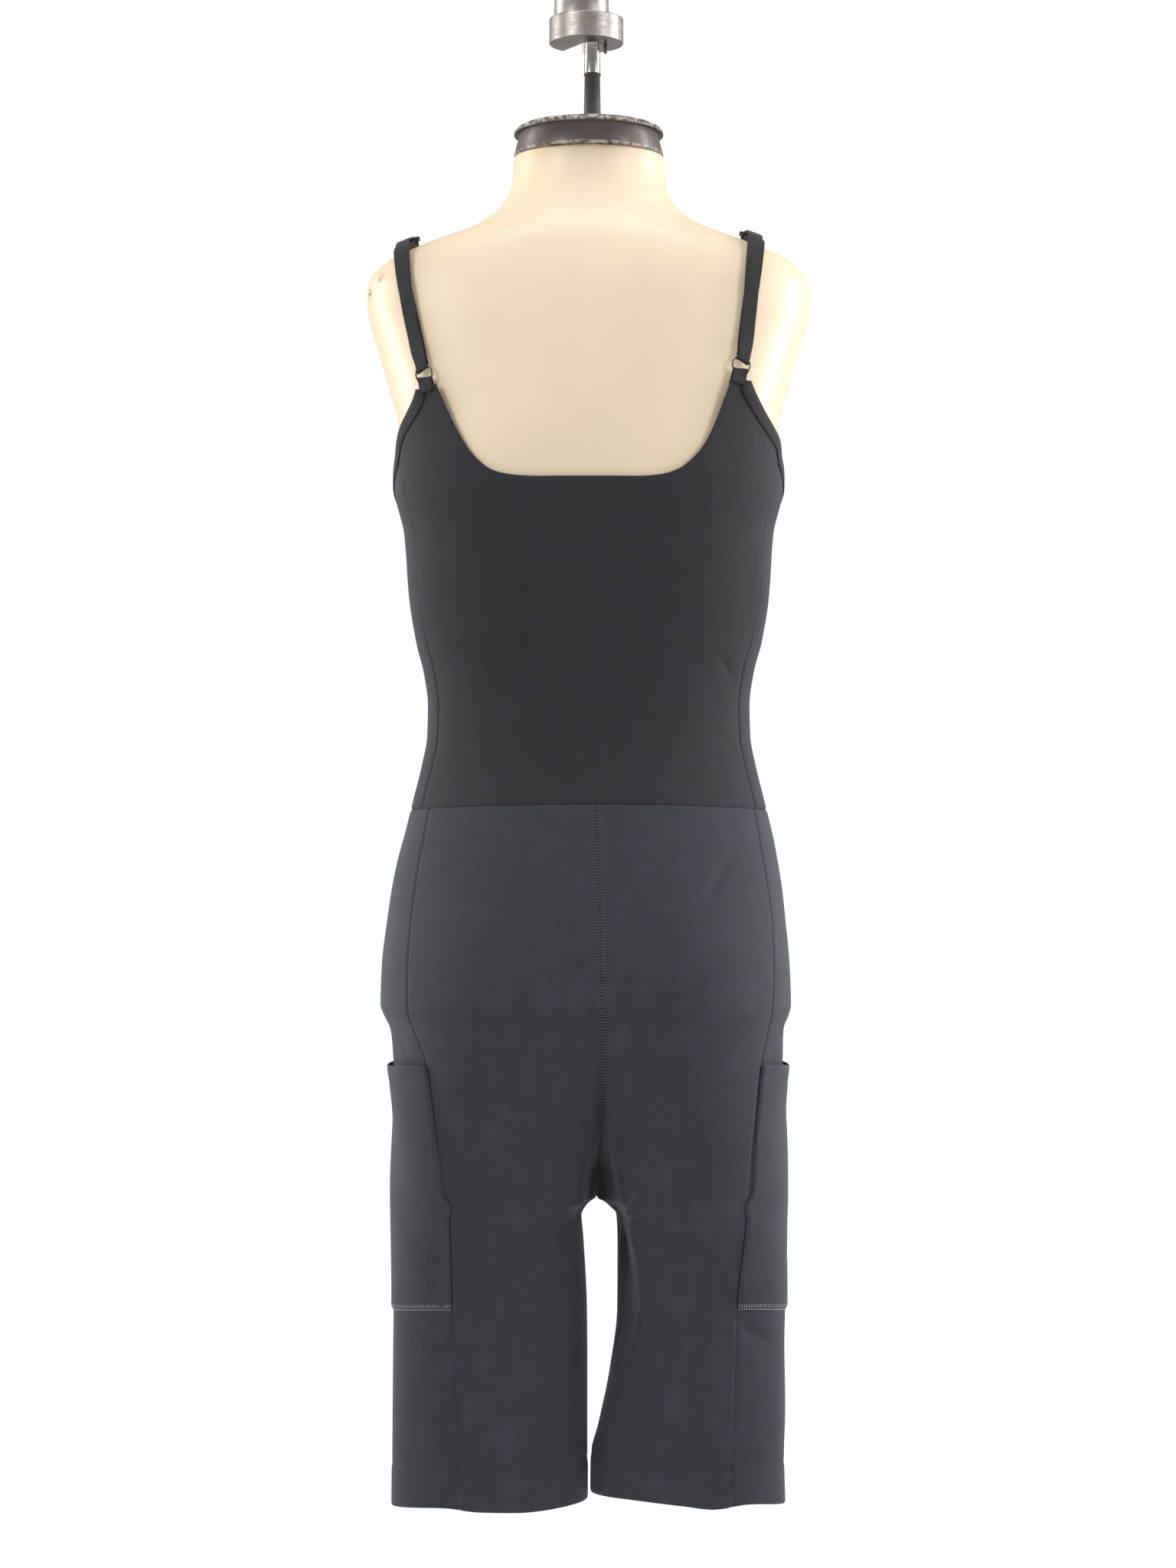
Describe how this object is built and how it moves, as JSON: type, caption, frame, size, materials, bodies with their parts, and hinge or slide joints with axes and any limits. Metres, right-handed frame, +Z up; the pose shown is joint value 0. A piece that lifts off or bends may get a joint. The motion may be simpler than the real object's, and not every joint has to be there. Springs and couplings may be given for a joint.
{
  "type": "romper on a dress form",
  "caption": "Sleeveless knit romper with thin adjustable straps, side pockets and legs to above the knee, on a limbless dress form that hangs by a rod.",
  "frame": {"origin": "on the flat top face of the stem that the dress form hangs by, straight above the middle of the body", "axes": "+Z up, +X towards the wearer's right, +Y towards the wearer's front, so the back of the garment faces -Y"},
  "size_m": [0.3696, 0.2697, 1.275],
  "materials": {
    "bodice_knit": "fine matt jersey knit with a soft sheen",
    "shorts_knit": "fine matt jersey knit, slightly bluer",
    "strap_elastic": "flat woven elastic",
    "form_plastic": "glossy cream moulding with a few scuffs",
    "cap_paint": "worn dark brown paint",
    "rod_rubber": "black sleeve",
    "rod_chrome": "polished",
    "collar_steel": "worn brushed steel",
    "slider_plastic": "black moulding",
    "ring_metal": "dark nickel wire, polished"
  },
  "bodies": {
    "root": {"bodice_back": "bodice_knit", "bodice_front": "bodice_knit", "armhole_binding_left": "bodice_knit", "armhole_binding_right": "bodice_knit", "leg_back_left": "shorts_knit", "leg_back_right": "shorts_knit", "leg_front_left": "shorts_knit", "leg_front_right": "shorts_knit", "side_panel_left": "shorts_knit", "side_panel_right": "shorts_knit", "pocket_left": "shorts_knit", "pocket_right": "shorts_knit", "strap_left": "strap_elastic", "strap_right": "strap_elastic", "ring_tab_left": "bodice_knit", "ring_tab_right": "bodice_knit", "strap_slider_left": "slider_plastic", "strap_slider_right": "slider_plastic", "strap_ring_left": "ring_metal", "strap_ring_right": "ring_metal", "form_torso": "form_plastic", "neck_cap": "cap_paint", "rod_sleeve": "rod_rubber", "hanging_rod": "rod_chrome", "rod_collar": "collar_steel", "collar_pin": "rod_rubber", "hanging_stem": "collar_steel"}
  },
  "joints": []
}
